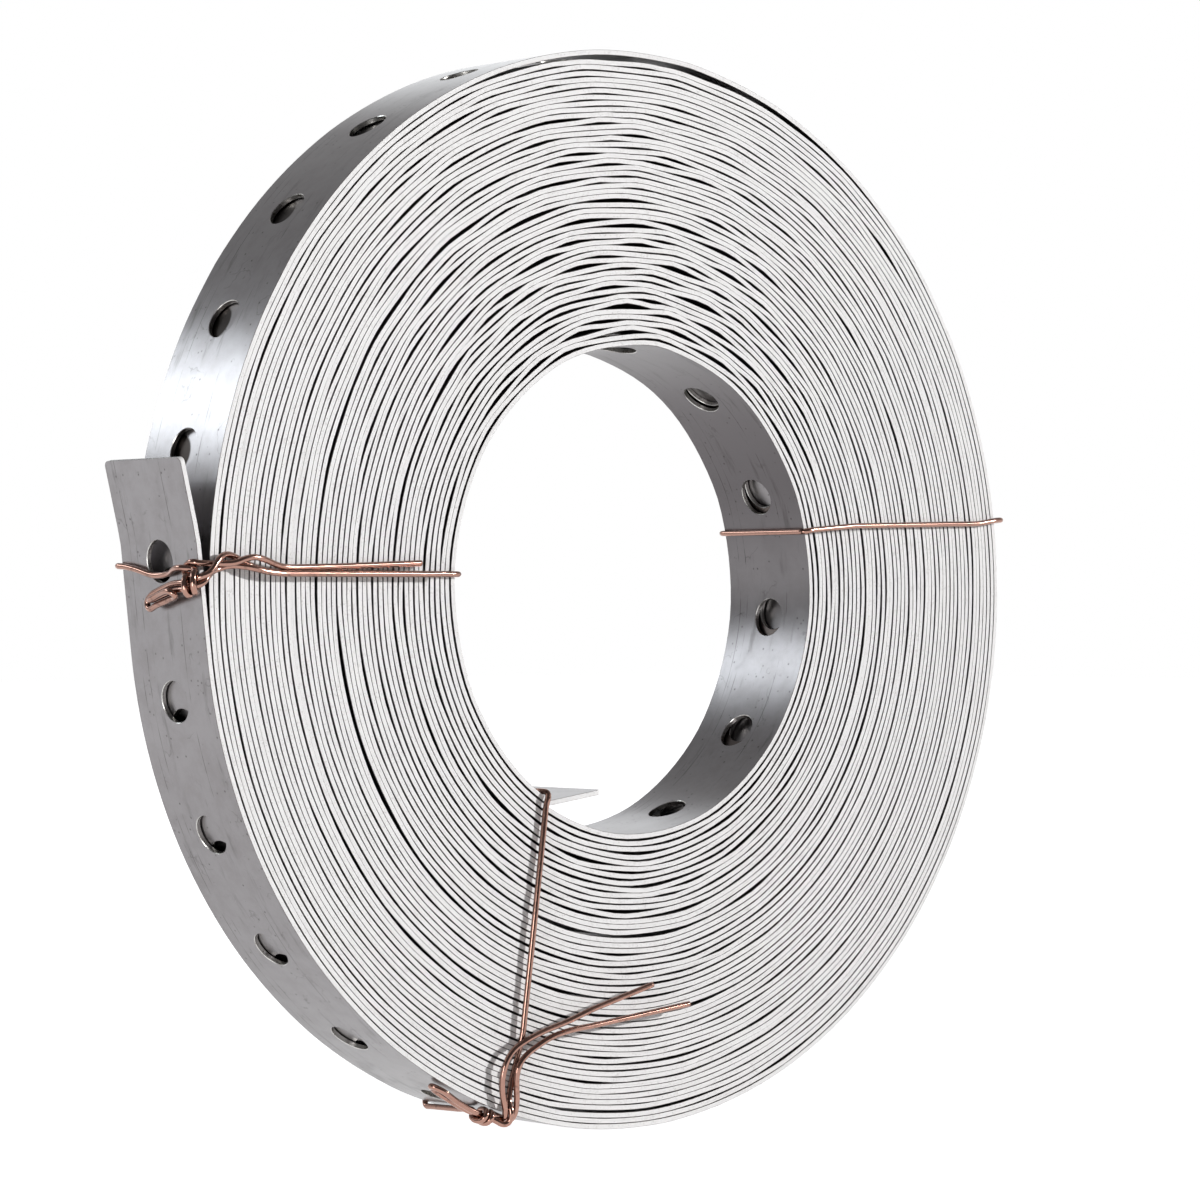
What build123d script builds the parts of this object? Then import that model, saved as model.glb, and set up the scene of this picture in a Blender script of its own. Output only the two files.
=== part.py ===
# Perforated steel band, wound into a coil that stands on its rim and is tied with three copper wires.
# The origin is the coil's centre, its axis is Y, and the near end face looks along -Y.
# Angles are measured about the axis from +X towards +Z. Lengths are in millimetres.
import os
from math import ceil, cos, degrees, radians, sin, tan

from build123d import *

# Band
band_width = 20.0
band_thickness = 0.9
hole_diameter = 6.8
hole_pitch = 22.05
corner_radius = 2.0

# Coil
bore_radius = 40.6
turn_count = 49
turn_gap = 0.137
turn_pitch = band_thickness + turn_gap
outer_radius = bore_radius + turn_count * turn_pitch

# Seams between turns that show as grooves in both end faces
seam_every = 7
seam_width = 0.5
seam_depth = 1.4

# Outer tail: it leaves the rim straight and is kinked outwards at its hole
tail_angle = 188.0
tail_to_hole = 15.6
tail_past_hole = 16.4
tail_kink = 3.5

# Inner end: the last stretch is bent away from the bore's wall
inner_angle = 240.5
inner_bend = 31.0
inner_flap = 11.7
inner_first_hole = 24.6

# Tie wires, each with a bight of two strands on the rim and two free ends
wire_diameter = 1.0
wire_sides = 8
wire_clearance = 0.15
wire_bend = 0.9
wire_bend_step = 35.0
wire_offset = wire_diameter / 2 + wire_clearance
strand_gap = 0.1
strand_pitch = wire_diameter + strand_gap
loose_bend = 6.0
bight_length = 9.0
left_tie_angle = 180.2
left_bore_angle = 177.4
bottom_rim_angle = 251.5
bottom_bore_angle = 238.0
right_rim_angle = 8.1
right_bore_angle = 14.45

# Free ends of the ties: how far in from the rim each one reaches, and how far it stands off the face
left_long_reach = 46.0
left_short_reach = 42.5
left_standoff = 1.4
bottom_long_reach = 24.2
bottom_short_reach = 19.8
bottom_standoff = 3.0
right_long_reach = 18.0
right_short_reach = 14.0
right_standoff = 1.0

arcs_per_turn = 8
half_width = band_width / 2
tail_lay = tail_angle - 90
mid_outer_radius = outer_radius - (band_thickness + turn_pitch) / 2
mid_bore_radius = bore_radius + (band_thickness + turn_pitch) / 2


def polar(radius, angle, axial=0.0, shift=0.0):
    """A point at a radius and an angle about the coil's axis, moved along the axis and round it."""
    turn = radians(angle)
    x = radius * cos(turn) - shift * sin(turn)
    z = radius * sin(turn) + shift * cos(turn)
    return Vector(x, axial, z)


def heading(angle):
    """A unit direction in the coil's end plane."""
    return Vector(cos(radians(angle)), 0, sin(radians(angle)))


def spiral(start_angle, start_radius, radius_change, direction):
    """One turn of a winding as equal arcs, its radius changing evenly with the angle."""
    def at(share):
        return polar(start_radius + radius_change * share, start_angle + direction * 360 * share)

    step = 1 / arcs_per_turn
    return [ThreePointArc(at(i * step), at((i + 0.5) * step), at((i + 1) * step))
            for i in range(arcs_per_turn)]


def tail_points():
    """The tail's outer and inner side, from the rim over its kink to the tip."""
    half_kink = band_thickness / 2 * tan(radians(tail_kink / 2))
    to_kink, to_tip = heading(tail_lay), heading(tail_lay + tail_kink)
    root_out, root_in = polar(outer_radius, tail_angle), polar(outer_radius - band_thickness, tail_angle)
    kink_out = root_out + to_kink * (tail_to_hole - half_kink)
    kink_in = root_in + to_kink * (tail_to_hole + half_kink)
    tip_out = kink_out + to_tip * (tail_past_hole - half_kink)
    tip_in = kink_in + to_tip * (tail_past_hole + half_kink)
    return [root_out, kink_out, tip_out], [root_in, kink_in, tip_in]


def flap_points():
    """The inner end's two sides, from the bore's wall over its bend to the tip."""
    bend_room = band_thickness * tan(radians(inner_bend / 2))
    lay = inner_angle + 90 + inner_bend
    root_in, root_out = polar(bore_radius, inner_angle), polar(bore_radius + band_thickness, inner_angle)
    knee = root_out + heading(inner_angle + 90) * bend_room
    tip_in = root_in + heading(lay) * inner_flap
    tip_out = tip_in - heading(lay + 90) * band_thickness
    return [root_in, tip_in], [root_out, knee, tip_out]


def side_view():
    """The coil seen along its axis: rim and tail outside, bore and bent end inside."""
    tail_out, tail_in = tail_points()
    flap_in, flap_out = flap_points()
    step_out = polar(outer_radius - turn_pitch, tail_angle)
    step_in = polar(bore_radius + turn_pitch, inner_angle)
    rim = spiral(tail_angle, outer_radius, -turn_pitch, 1)
    wall = spiral(inner_angle, bore_radius, turn_pitch, -1)
    rim.append(Polyline(step_out, *tail_in, *reversed(tail_out)))
    wall.append(Polyline(step_in, *flap_out, *reversed(flap_in)))
    return make_face(Wire(Curve() + rim)) - make_face(Wire(Curve() + wall))


def seam_groove(radius):
    """A ring-shaped notch in both end faces where two turns stand apart."""
    notch = [(radius - seam_width / 2, half_width), (radius, half_width - seam_depth),
             (radius + seam_width / 2, half_width)]
    above = Plane.XY * make_face(Polyline(*notch, close=True))
    groove = revolve(above, Axis.Y)
    return groove + mirror(groove, Plane.XZ)


def rim_hole_angles():
    """Where the outermost turn's holes lie, counted along the band from the hole in the tail."""
    step = degrees(hole_pitch / mid_outer_radius)
    first = tail_angle + step - degrees(tail_to_hole / mid_outer_radius)
    count = int((tail_angle + 360 - first) // step) + 1
    return [first + i * step for i in range(count)]


def bore_hole_angles():
    """Where the innermost turn's holes lie, counted along the band from its bent end."""
    step = degrees(hole_pitch / mid_bore_radius)
    first = inner_angle - degrees(inner_first_hole / mid_bore_radius)
    half_hole = degrees(hole_diameter / 2 / bore_radius)
    count = int((first - half_hole - inner_angle + 360) // step) + 1
    return [first - i * step for i in range(count)]


def rim_radius(angle):
    """The outermost turn's outer surface at an angle counted from the tail onwards."""
    return outer_radius - turn_pitch * (angle - tail_angle) / 360


def wall_radius(angle):
    """The innermost turn's inner surface at an angle counted back from the bent end."""
    return bore_radius + turn_pitch * (inner_angle - angle) / 360


def punch(start, end):
    """A round cutter from one point to another."""
    lay = Plane(origin=start, z_dir=end - start)
    return extrude(lay * Circle(hole_diameter / 2), (end - start).length)


def punches():
    """Cutters for every hole that shows: one thickness deep on the coil, right through in the tail."""
    cutters = []
    for angle in rim_hole_angles():
        surface = rim_radius(angle)
        cutters.append(punch(polar(surface - band_thickness, angle), polar(surface + turn_gap, angle)))
    for angle in bore_hole_angles():
        surface = wall_radius(angle)
        sides = wall_radius(angle) - (wall_radius(angle) ** 2 - (hole_diameter / 2) ** 2) ** 0.5
        cutters.append(punch(polar(surface + band_thickness, angle),
                             polar(surface - sides - turn_gap, angle)))
    tail_hole = polar(outer_radius, tail_angle) + heading(tail_lay) * tail_to_hole
    through = heading(tail_lay + 90) * band_thickness * 2
    cutters.append(punch(tail_hole - through, tail_hole + through))
    return cutters


def tip_edges(solid, tip):
    """The short edges across the band's thickness at one of its two cut ends."""
    edges = solid.edges().filter_by(lambda e: abs(e.length - band_thickness) < band_thickness / 100)
    return edges.sort_by_distance(tip)[:2]


def make_band():
    """The wound band as one solid."""
    coil = extrude(side_view(), half_width, both=True)
    seams = range(seam_every, turn_count - 1, seam_every)
    grooves = [seam_groove(bore_radius + turn * turn_pitch - turn_gap / 2) for turn in seams]
    tail_out, tail_in = tail_points()
    flap_in, flap_out = flap_points()
    coil = fillet(tip_edges(coil, tail_out[-1]), corner_radius)
    coil = fillet(tip_edges(coil, flap_in[-1]), corner_radius)
    return coil - grooves - punches()


def small_bends(before, corner, after, largest):
    """A corner of a wire as equal small bends round an arc, its radius as large as the two runs allow."""
    inward, outward = corner - before, after - corner
    turn = inward.get_angle(outward)
    count = ceil(turn / wire_bend_step)
    if count == 1:
        return [corner]
    room = 0.45 * min(inward.length, outward.length) / tan(radians(turn / 2))
    radius = min(room, largest)
    towards = (outward.normalized() - inward.normalized()).normalized()
    centre = corner + towards * (radius / cos(radians(turn / 2)))
    spoke = towards * (-radius / cos(radians(turn / 2 / count)))
    hinge = Axis((0, 0, 0), inward.cross(outward))
    return [centre + spoke.rotate(hinge, turn * ((i + 0.5) / count - 0.5)) for i in range(count)]


def bent_wire(points, sharp):
    """A wire of straight runs. The points whose places are in sharp lie at an edge of the band."""
    route = [points[0]]
    for i in range(1, len(points) - 1):
        largest = wire_bend if i in sharp else loose_bend
        route += small_bends(points[i - 1], points[i], points[i + 1], largest)
    route.append(points[-1])
    start = Plane(origin=route[0], z_dir=route[1] - route[0])
    section = start * RegularPolygon(wire_diameter / 2, wire_sides)
    return sweep(section, Polyline(*route), transition=Transition.RIGHT)


def free_end(side, rim_angle, reach, standoff, route):
    """A free end's points on one face, from the rim inwards.

    route gives each point as a share of the reach, an angle from the rim's, and a share of the standoff.
    """
    face = half_width + wire_offset
    return [polar(outer_radius - reach * inwards, rim_angle + turn, side * (face + standoff * lift))
            for inwards, turn, lift in route]


def make_tie(side, rim_angle, bore_angle, fan, rim_line, first, second):
    """One tie: round the coil's section, with a bight on the rim and two free ends on one face.

    side is the face that the free ends lie on, and fan the way round the axis from the strand that
    the first end leaves to the one that the second end leaves.
    """
    face = side * (half_width + wire_offset)
    bore_line = bore_radius - wire_offset
    step = fan * strand_pitch
    bight_end = side * (half_width - bight_length)
    around = [
        polar(rim_line, rim_angle, face), polar(rim_line, rim_angle, -face),
        polar(bore_line, bore_angle, -face), polar(bore_line, bore_angle, face),
        polar(rim_line, rim_angle, face, -step)]
    bight = [
        polar(rim_line, rim_angle, bight_end, -step),
        polar(rim_line + strand_pitch, rim_angle, bight_end - side * strand_pitch * 1.5, -step),
        polar(rim_line + strand_pitch, rim_angle, bight_end - side * strand_pitch * 1.5, step),
        polar(rim_line, rim_angle, bight_end, step),
        polar(rim_line, rim_angle, face, step)]
    start = len(first)
    points = first[::-1] + around + bight + second
    sharp = [start + i for i in range(len(around))] + [start + len(around) + len(bight) - 1]
    return bent_wire(points, sharp)


def left_tie():
    """The tie over the tail, its ends lying back along the near face."""
    slope = radians(tail_angle - left_tie_angle)
    on_tail = outer_radius / cos(slope) + strand_pitch * tan(slope) + wire_offset
    first = free_end(-1, left_tie_angle, left_long_reach, left_standoff,
                     [(0.07, -0.2, 0.3), (0.22, -1.0, 0.9), (1, -2.2, 1)])
    second = free_end(-1, left_tie_angle, left_short_reach, left_standoff,
                      [(0.07, -1.2, 0.15), (0.24, -2.2, 0.4), (1, -4.4, 0.2)])
    return make_tie(-1, left_tie_angle, left_bore_angle, -1, on_tail, first, second)


def bottom_tie():
    """The tie near the foot, its ends crossing over its own strand and standing off the near face."""
    on_rim = outer_radius + wire_offset
    first = free_end(-1, bottom_rim_angle, bottom_long_reach, bottom_standoff,
                     [(0.17, -0.6, 0.4), (0.5, -1.8, 0.6), (0.9, 6, 0.9), (1, 19.7, 1)])
    second = free_end(-1, bottom_rim_angle, bottom_short_reach, bottom_standoff,
                      [(0.25, 0.6, 0.15), (0.6, 1.2, 0.4), (0.88, 6.5, 0.8), (1, 26.9, 1)])
    return make_tie(-1, bottom_rim_angle, bottom_bore_angle, 1, on_rim, first, second)


def right_tie():
    """The tie at the right, its short ends on the far face."""
    on_rim = outer_radius + wire_offset
    first = free_end(1, right_rim_angle, right_short_reach, right_standoff,
                     [(0.36, 0, 0.4), (1, 0.4, 1)])
    second = free_end(1, right_rim_angle, right_long_reach, right_standoff,
                      [(0.28, -1, 0.4), (1, -3, 1)])
    return make_tie(1, right_rim_angle, right_bore_angle, -1, on_rim, first, second)


if __name__ == "__main__":
    os.makedirs("parts", exist_ok=True)
    solids = {"steel_band": make_band(), "tie_wire_left": left_tie(),
              "tie_wire_bottom": bottom_tie(), "tie_wire_right": right_tie()}
    for name, solid in solids.items():
        export_step(solid, f"parts/{name}.step")
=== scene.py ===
# A coil of perforated steel band that stands on its rim, tied with three copper-coloured wires.
# Lengths in the classes are millimetres; the coil's axis is Y and the near end face looks along -Y.
# Angles about the axis run from +X towards +Z, in degrees.
import logging
from dataclasses import dataclass, field
from enum import IntEnum
from itertools import accumulate
from math import atan2, ceil, cos, log, pi, radians, sin, sqrt, tan

import bmesh
import bpy
import numpy as np
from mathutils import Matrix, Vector


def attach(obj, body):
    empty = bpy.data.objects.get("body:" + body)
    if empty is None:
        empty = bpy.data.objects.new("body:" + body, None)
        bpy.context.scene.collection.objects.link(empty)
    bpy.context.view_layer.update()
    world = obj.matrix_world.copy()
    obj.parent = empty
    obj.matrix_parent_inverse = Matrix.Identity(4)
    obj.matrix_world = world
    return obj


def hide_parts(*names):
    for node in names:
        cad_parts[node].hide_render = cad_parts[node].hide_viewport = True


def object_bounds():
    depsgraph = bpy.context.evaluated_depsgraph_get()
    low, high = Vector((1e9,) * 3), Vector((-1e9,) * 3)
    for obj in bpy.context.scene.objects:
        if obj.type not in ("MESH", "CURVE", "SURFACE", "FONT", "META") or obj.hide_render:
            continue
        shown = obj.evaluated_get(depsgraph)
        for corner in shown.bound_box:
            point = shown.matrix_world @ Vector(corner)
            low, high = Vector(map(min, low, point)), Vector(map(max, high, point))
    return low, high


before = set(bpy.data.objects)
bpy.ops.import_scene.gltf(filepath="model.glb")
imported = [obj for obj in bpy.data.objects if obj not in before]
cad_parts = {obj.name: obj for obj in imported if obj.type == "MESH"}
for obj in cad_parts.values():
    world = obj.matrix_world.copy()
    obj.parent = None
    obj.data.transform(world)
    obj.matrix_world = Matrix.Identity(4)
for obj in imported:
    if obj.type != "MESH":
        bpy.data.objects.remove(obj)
cad_box = [[float(value) for value in corner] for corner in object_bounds()]
journal = logging.getLogger("coil")
MM = 0.001


class Surface(IntEnum):
    """The kinds of surface on the band, in the order of its material slots."""

    FACE = 0
    EDGE = 1
    HOLE = 2
    SHOULDER = 3


@dataclass
class Shape:
    """Vertices in millimetres, four-cornered faces, a surface for each face and a length along."""

    points: np.ndarray
    quads: np.ndarray
    surfaces: np.ndarray
    along: np.ndarray

    def joined(self, other: "Shape") -> "Shape":
        """This shape and another as one, the other's corners counted on from this one's.

        Args:
            other: the shape to add.

        Returns:
            Both shapes in one.
        """
        return Shape(np.concatenate([self.points, other.points]),
                     np.concatenate([self.quads, other.quads + len(self.points)]),
                     np.concatenate([self.surfaces, other.surfaces]),
                     np.concatenate([self.along, other.along]))


def grid_quads(rows: int, columns: int, closed: bool) -> np.ndarray:
    """Corners of the quads of a grid whose vertices are stored row after row.

    Args:
        rows: how many rows of vertices.
        columns: how many vertices in a row.
        closed: whether each row's last vertex is joined to its first.

    Returns:
        An array of quads, in the order of their rows.
    """
    across = columns if closed else columns - 1
    row = np.arange(rows - 1)[:, None] * columns
    left = np.arange(across)[None, :]
    right = (left + 1) % columns
    corners = [row + left, row + columns + left, row + columns + right, row + right]
    return np.stack(corners, axis=-1).reshape(-1, 4)


def make_object(name: str, shape: Shape, materials: list, sharp_angle: float,
                merge: float = 0.0) -> bpy.types.Object:
    """Puts a shape into a mesh object at the origin, in metres, with its length along the band as UV.

    Args:
        name: the object's name.
        shape: what to put in.
        materials: its material slots.
        sharp_angle: edges that turn more than this many degrees stay sharp.
        merge: corners nearer than this, in millimetres, become one.

    Returns:
        The new object.
    """
    mesh = bpy.data.meshes.new(name)
    count = len(shape.quads)
    mesh.vertices.add(len(shape.points))
    mesh.vertices.foreach_set("co", (shape.points * MM).astype(np.float32).ravel())
    mesh.loops.add(count * 4)
    mesh.loops.foreach_set("vertex_index", shape.quads.astype(np.int32).ravel())
    mesh.polygons.add(count)
    mesh.polygons.foreach_set("loop_start", np.arange(count, dtype=np.int32) * 4)
    mesh.polygons.foreach_set("material_index", shape.surfaces.astype(np.int32))
    mesh.polygons.foreach_set("use_smooth", np.ones(count, dtype=bool))
    for material in materials:
        mesh.materials.append(material)
    mesh.update(calc_edges=True)
    layer = mesh.uv_layers.new(name="band")
    places = np.stack([shape.along, shape.points[:, 1]], axis=-1) * MM
    layer.data.foreach_set("uv", places[shape.quads.ravel()].astype(np.float32).ravel())
    obj = bpy.data.objects.new(name, mesh)
    bpy.context.scene.collection.objects.link(obj)
    if merge:
        weld(mesh, merge * MM)
    mesh.set_sharp_from_angle(angle=radians(sharp_angle))
    return obj


def weld(mesh: bpy.types.Mesh, distance: float) -> None:
    """Merges a mesh's coincident corners and turns its faces outwards.

    Args:
        mesh: the mesh to change.
        distance: how near two corners are merged, in metres.
    """
    work = bmesh.new()
    work.from_mesh(mesh)
    bmesh.ops.remove_doubles(work, verts=work.verts, dist=distance)
    bmesh.ops.recalc_face_normals(work, faces=work.faces)
    work.to_mesh(mesh)
    work.free()


@dataclass
class BandCoil:
    """The band, wound from its bent inner end to its sprung tail."""

    width: float = 20.0
    thickness: float = 0.85
    hole_diameter: float = 6.65
    hole_pitch: float = 22.0
    corner_radius: float = 0.9
    bore_radius: float = 40.6
    outer_radius: float = 91.3
    turn_count: int = 49
    tail_angle: float = 186.7
    tail_to_hole: float = 14.05
    tail_past_hole: float = 16.1
    tail_kink: float = 7.3
    kink_past_hole: float = 3.4
    inner_angle: float = 240.5
    inner_bend: float = 37.0
    inner_flap: float = 11.7
    inner_first_hole: float = 24.6
    kink_share: float = 0.4
    kink_spread: float = 0.13
    calm_share: float = 0.35
    calm_turns: float = 2.5
    hold: float = 0.4
    slack: float = 0.5
    drift: float = 0.105
    drift_holes: float = 1.7
    kink_variation: float = 0.85
    softness: float = 0.07
    wander: float = 0.09
    shoulder_across: float = 0.05
    shoulder_down: float = 0.05
    top_gap: float = 0.85
    top_angle: float = 82.0
    top_spread: float = 26.0
    hole_bevel: float = 0.1
    station_spacing: float = 2.76
    steps_per_turn: int = 720
    outer_pierced: int = 80
    inner_pierced: int = 38
    hole_points: int = 32
    seed: int = 7

    def __post_init__(self) -> None:
        """Works out the band's line once."""
        self.line = self.centre_line()

    def even_spiral(self, turns: np.ndarray) -> np.ndarray:
        """Middle radius after a number of turns, with gaps that shrink as the turns get larger.

        In words: one thickness for each turn, and the spare radius shared out by the logarithm of
        how much the coil has grown, because a kinked band stands further off on a small turn.

        Args:
            turns: turns travelled from the inner end.

        Returns:
            The radius at each.
        """
        first = self.bore_radius + self.thickness / 2
        last = self.outer_radius - self.thickness / 2
        total = turns[-1]
        spare = last - first - self.thickness * total
        grown = 1 + (last / first - 1) * turns / total
        return first + self.thickness * turns + spare * np.log(grown) / log(last / first)

    def winding(self, turns: np.ndarray, holes: np.ndarray) -> np.ndarray:
        """Middle radius of the wound band at equal steps of angle.

        In words: each turn takes the even spiral plus a wave that peaks at the holes, where the band
        kinks. The wave is a share of the sagitta of one hole pitch, less on the inner and outer turns,
        which the bending of their neighbours doesn't disturb, and less at the sides, where ties hold
        the turns, by the cosine of twice the angle, and more at the top, by the sine. A slow drift,
        drawn anew every few holes, makes some gaps wide and closes others. All turns but the last dip
        a little near the top, by a bell curve of the angle, so that the last one stands off there. A
        turn never comes nearer to the turn below than one thickness, by a smooth maximum of the two.

        Args:
            turns: turns travelled from the inner end.
            holes: the hole count along the band at the same places, whole numbers at the holes.

        Returns:
            The radius at each.
        """
        draw = np.random.default_rng(self.seed)
        even = self.even_spiral(turns)
        last_hole = ceil(holes[-1]) + 1
        strength = draw.uniform(1 - self.kink_variation, 1 + self.kink_variation, last_hole + 2)
        share = np.interp(holes, np.arange(-1, last_hole + 1), strength)
        to_hole = np.hypot(np.abs(holes - np.round(holes)), self.kink_spread)
        wave = 4 * (0.5 - to_hole) ** 2 - 1 / 3
        sagitta = self.hole_pitch ** 2 / 8 / even
        to_end = np.minimum(turns, turns[-1] - turns)
        calm = np.interp(to_end / self.calm_turns, [0, 1], [self.calm_share, 1]) * np.clip(to_end * 8, 0, 1)
        heading = self.inner_angle - 360 * turns
        calm *= 1 - self.hold * np.cos(np.radians(2 * heading)) + self.slack * np.sin(np.radians(heading))
        off_top = (heading - self.top_angle + 180) % 360 - 180
        under_last = np.clip((turns[-1] - 1 - turns) * 8, 0, 1) * turns / turns[-1]
        dip = self.top_gap * np.exp(-(off_top / self.top_spread) ** 2) * under_last
        place = holes / self.drift_holes
        past = place - np.floor(place)
        levels = draw.normal(0, 1, last_hole + 2)
        level = np.interp(np.floor(place) + past * past * (3 - 2 * past), np.arange(-1, last_hole + 1), levels)
        drift = self.drift * level * np.clip(to_end / 4, 0, 1)
        natural = even + self.kink_share * sagitta * share * wave * calm + drift - dip
        radius = natural.copy()
        for start in range(self.steps_per_turn, len(radius), self.steps_per_turn):
            stop = min(start + self.steps_per_turn, len(radius))
            under = radius[start - self.steps_per_turn:stop - self.steps_per_turn] + self.thickness
            own = natural[start:stop]
            radius[start:stop] = (own + under + np.hypot(own - under, self.softness)) / 2
        excess = radius[-1] - even[-1]
        return radius - excess * turns / turns[-1]

    def under_hole(self, turns_left: float) -> float:
        """Where the outer turn's holes lie over the turn beneath it, which has its own elsewhere.

        In words: what is left of one turn's length, counted back, after whole pitches.

        Args:
            turns_left: how many turns before the end of the winding the holes are.

        Returns:
            The length from the lower turn's last hole to the middle of the outer turn's hole.
        """
        total = self.turn_count - 1 + (self.inner_angle - self.tail_angle) / 360
        first = self.bore_radius + self.thickness / 2
        growth = (self.outer_radius - self.thickness / 2 - first) / total
        turn_length = 2 * pi * (first + growth * (total - turns_left - 0.5))
        return -turn_length % self.pitch

    def centre_line(self) -> dict:
        """The middle of the band from tip to tip.

        In words: the bent inner end, the winding and the tail, each as points x and z at lengths
        along the band that are counted from the start of the winding.

        Returns:
            The arrays along, x, z and the outward normal's x and z.
        """
        total = self.turn_count - 1 + (self.inner_angle - self.tail_angle) / 360
        count = round(total * self.steps_per_turn)
        turns = np.arange(count + 1) / self.steps_per_turn
        first = self.bore_radius + self.thickness / 2
        growth = (self.outer_radius - self.thickness / 2 - first) / total
        along = 2 * pi * (first * turns + growth * turns ** 2 / 2)
        to_tail_hole = along[-1] + self.tail_to_hole - self.inner_first_hole
        self.last_hole = round(to_tail_hole / self.hole_pitch)
        self.pitch = to_tail_hole / self.last_hole
        radius = self.winding(turns, (along - self.inner_first_hole) / self.pitch)
        angle = radians(self.inner_angle) - 2 * pi * turns
        x, z = radius * np.cos(angle), radius * np.sin(angle)
        flap = self.straight_end(x[:2][::-1], z[:2][::-1], self.inner_flap,
                                 [(0.0, 1.6, self.inner_bend)])
        tail = self.straight_end(x[-2:], z[-2:], self.tail_to_hole + self.tail_past_hole,
                                 [(self.tail_to_hole + self.kink_past_hole, 2.0, self.tail_kink)])
        along = np.concatenate([-flap[0][::-1], along, along[-1] + tail[0]])
        x = np.concatenate([flap[1][::-1], x, tail[1]])
        z = np.concatenate([flap[2][::-1], z, tail[2]])
        slope_x, slope_z = np.gradient(x, along), np.gradient(z, along)
        steep = np.hypot(slope_x, slope_z)
        self.start, self.end = along[0], along[-1]
        return {"along": along, "x": x, "z": z, "nx": -slope_z / steep, "nz": slope_x / steep}

    @staticmethod
    def straight_end(x: np.ndarray, z: np.ndarray, length: float, bends: list) -> tuple:
        """A straight run on from two points, with bends.

        In words: the heading is the run's own plus a smooth step at each bend, and the points are the
        sum of short steps in that heading.

        Args:
            x: the two points' x.
            z: the two points' z.
            length: how far the run goes on.
            bends: for each bend how far along it lies, how far it spreads and its angle in degrees.

        Returns:
            Lengths and the points' x and z, without the first.
        """
        step = 0.1
        far = np.arange(1, round(length / step) + 1) * step
        heading = atan2(z[1] - z[0], x[1] - x[0]) + np.zeros_like(far)
        for place, spread, turn in bends:
            share = np.clip((far - place + spread / 2) / spread, 0, 1)
            heading += radians(turn) * share * share * (3 - 2 * share)
        return far, x[1] + np.cumsum(np.cos(heading)) * step, z[1] + np.cumsum(np.sin(heading)) * step

    def place(self, along: np.ndarray, across: np.ndarray, lift: np.ndarray) -> np.ndarray:
        """Points on the band.

        In words: the centre line's point at a length along, moved along the outward normal by the
        lift, and along the axis by the place across plus a slow wander of the whole band.

        Args:
            along: lengths along the band.
            across: places across it.
            lift: distances from its middle, outwards.

        Returns:
            Points, with their three coordinates last.
        """
        line = self.line
        x, z, nx, nz = [np.interp(along, line["along"], line[key]) for key in ("x", "z", "nx", "nz")]
        sway = self.wander * np.sin(along / 173.0) * np.cos(along / 611.0)
        return np.stack([x + lift * nx, across * (1 - self.wander / 10) + sway, z + lift * nz], axis=-1)

    def half_width(self, along: np.ndarray) -> np.ndarray:
        """Half the band's width, less where its ends' corners are rounded.

        Args:
            along: lengths along the band.

        Returns:
            The half width at each.
        """
        to_tip = np.minimum(along - self.start, self.end - along)
        short = np.clip(self.corner_radius - to_tip, 0, self.corner_radius)
        return self.width / 2 - self.corner_radius + np.sqrt(self.corner_radius ** 2 - short ** 2)

    def plain_stretch(self, stations: np.ndarray, columns: int, caps: tuple) -> Shape:
        """A stretch of band without holes.

        In words: a closed section of two flat faces, two cut edges and their four shoulders is
        carried along the stations.

        Args:
            stations: lengths along the band.
            columns: how many points each flat face has across.
            caps: whether the first and the last section are closed.

        Returns:
            The stretch as a shape.
        """
        half = self.thickness / 2
        flat = np.linspace(-1, 1, columns)
        out, down = np.zeros(columns), self.shoulder_down
        share = np.concatenate([flat, [1, 1], flat[::-1], [-1, -1]])
        inset = np.concatenate([flat * self.shoulder_across, [0, 0], flat[::-1] * self.shoulder_across,
                                [0, 0]])
        lift = np.concatenate([out + half, [half - down, down - half], out - half,
                               [down - half, half - down]])
        size = len(share)
        wide = self.half_width(stations)[:, None]
        along = np.repeat(stations[:, None], size, axis=1)
        points = self.place(along, wide * share - inset, np.broadcast_to(lift, along.shape))
        quads = grid_quads(len(stations), size, True)
        kinds = np.full(size, Surface.FACE)
        kinds[[columns - 1, columns + 1, size - 3, size - 1]] = Surface.SHOULDER
        kinds[[columns, size - 2]] = Surface.EDGE
        surfaces = np.tile(kinds, len(stations) - 1)
        near = np.arange(columns - 1)
        cap = np.stack([near, near + 1, size - 4 - near, size - 3 - near], axis=-1)
        sides = [[columns - 1, columns, columns + 1, columns + 2], [size - 3, size - 2, size - 1, 0]]
        cap = np.concatenate([cap, sides])
        ends = [cap, cap[:, ::-1] + (len(stations) - 1) * size]
        for closed, end in zip(caps, ends):
            if closed:
                quads = np.concatenate([quads, end])
                surfaces = np.concatenate([surfaces, np.full(len(end), Surface.EDGE)])
        return Shape(points.reshape(-1, 3), quads, surfaces, along.ravel())

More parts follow.
